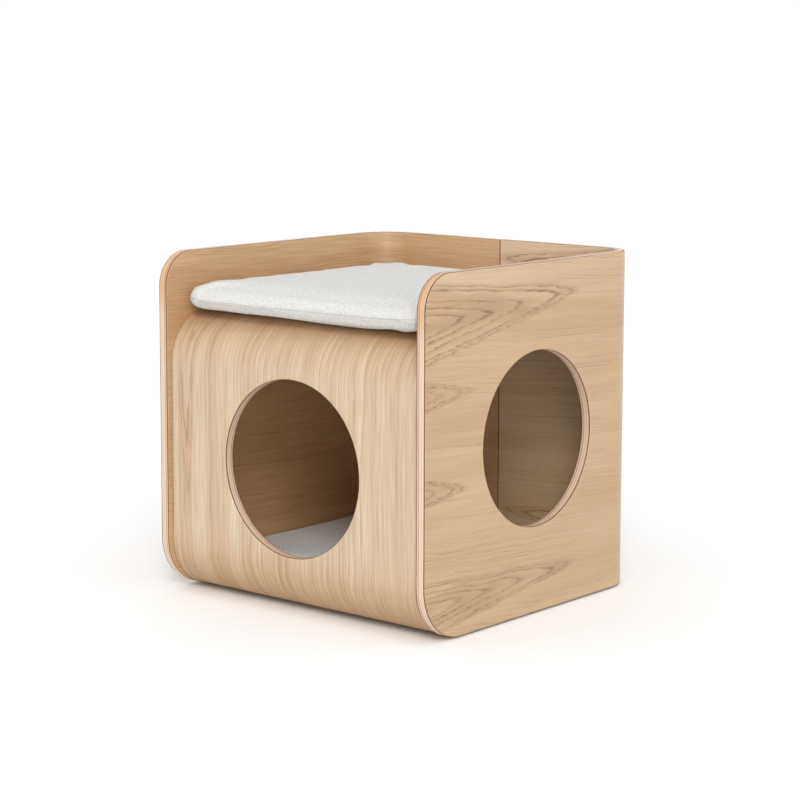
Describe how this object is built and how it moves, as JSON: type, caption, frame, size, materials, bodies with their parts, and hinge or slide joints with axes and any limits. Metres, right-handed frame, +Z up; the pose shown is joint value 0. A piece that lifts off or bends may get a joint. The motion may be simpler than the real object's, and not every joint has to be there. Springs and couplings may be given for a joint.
{
  "type": "cat house",
  "caption": "Bent plywood cat house: a cabin with a round doorway in the front and in one side, a padded floor, and a cushioned tray on top.",
  "frame": {"origin": "on the ground under the middle of the house: the middle of the bounding box's bottom", "axes": "+Z up; the front with its doorway faces -Y, the back +Y, and the side doorway +X"},
  "size_m": [0.4, 0.4, 0.4],
  "materials": {
    "shell_ply": "satin",
    "wrap_ply": "satin",
    "linen": "matte",
    "beech": "matte",
    "steel": "satin",
    "zinc": "satin",
    "felt": "matte"
  },
  "bodies": {
    "house": {"left_shell": "shell_ply", "right_shell": "shell_ply", "inner_wrap": "wrap_ply", "floor_cushion": "linen", "seam_dowel_1": "beech", "seam_dowel_2": "beech", "seam_dowel_3": "beech", "seam_dowel_4": "beech", "shelf_dowel_front_left": "beech", "shelf_dowel_back_left": "beech", "shelf_dowel_front_right": "beech", "shelf_dowel_back_right": "beech", "floor_dowel_front_left": "beech", "floor_dowel_back_left": "beech", "floor_dowel_front_right": "beech", "floor_dowel_back_right": "beech", "shelf_bolt_front_left": "steel", "shelf_bolt_back_left": "steel", "shelf_bolt_front_right": "steel", "shelf_bolt_back_right": "steel", "floor_bolt_front_left": "steel", "floor_bolt_back_left": "steel", "floor_bolt_front_right": "steel", "floor_bolt_back_right": "steel", "shelf_cam_front_left": "zinc", "shelf_cam_back_left": "zinc", "shelf_cam_front_right": "zinc", "shelf_cam_back_right": "zinc", "floor_cam_front_left": "zinc", "floor_cam_back_left": "zinc", "floor_cam_front_right": "zinc", "floor_cam_back_right": "zinc", "foot_pad_front_left": "felt", "foot_pad_back_left": "felt", "foot_pad_front_right": "felt", "foot_pad_back_right": "felt"},
    "top_cushion": {"top_cushion": "linen"}
  },
  "joints": [
    {"name": "top_cushion_lift", "type": "slide", "parent": "house", "child": "top_cushion", "axis": [0, 0, 1], "range_m": [0, 0.1]}
  ]
}
